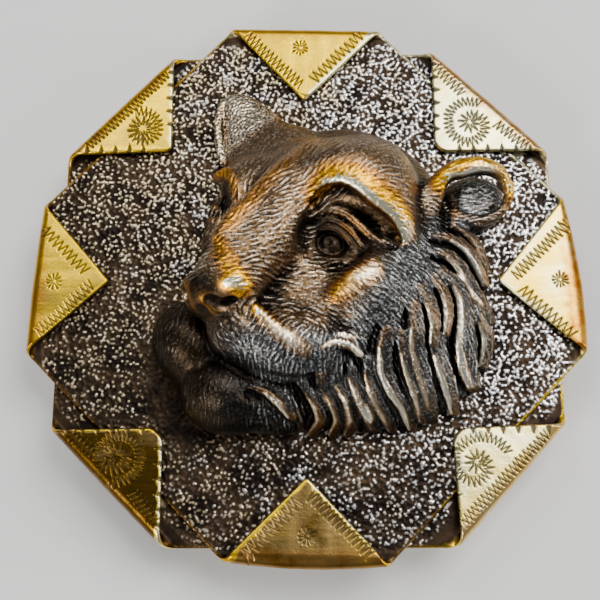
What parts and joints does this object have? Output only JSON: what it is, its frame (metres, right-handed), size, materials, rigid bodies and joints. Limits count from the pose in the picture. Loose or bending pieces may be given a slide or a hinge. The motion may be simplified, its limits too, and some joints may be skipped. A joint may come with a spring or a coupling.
{
  "type": "medallion belt buckle",
  "caption": "Round medallion buckle of two folded brass sheets with a cast lion head in high relief, a hinged wire bail and a hook behind.",
  "frame": {"origin": "on the rest surface under the middle of the medallion, which lies face up on its back hardware", "axes": "+Z out of the face, +Y towards the top of the head, +X to the right as seen from the front"},
  "size_m": [0.08, 0.08, 0.0273],
  "materials": {
    "sheet_brass": "hand-polished brass sheet, tooled with fine wriggle lines and nicks, amber in the folds",
    "dark_brass": "brass sheet matted all over with a punch and chemically darkened, rubbed bright on its corners",
    "cast_bronze": "cast bronze with a dark brown patina, rubbed golden on its high points",
    "plain_brass": "plain brass hardware with a light tarnish"
  },
  "bodies": {
    "medallion": {"back_sheet": "sheet_brass", "front_sheet": "dark_brass", "lion_head": "cast_bronze", "head_screw_1": "plain_brass", "head_screw_2": "plain_brass", "head_screw_3": "plain_brass", "head_washer_1": "plain_brass", "head_washer_2": "plain_brass", "head_washer_3": "plain_brass", "hinge_lug_upper": "plain_brass", "hinge_lug_lower": "plain_brass", "hook_stud": "plain_brass"},
    "bail": {"belt_bail": "plain_brass"}
  },
  "joints": [
    {"name": "bail_hinge", "type": "hinge", "parent": "medallion", "child": "bail", "pos_m": [0.021, 0, 0.003], "axis": [0, 1, 0], "range_deg": [-20, 185]}
  ]
}
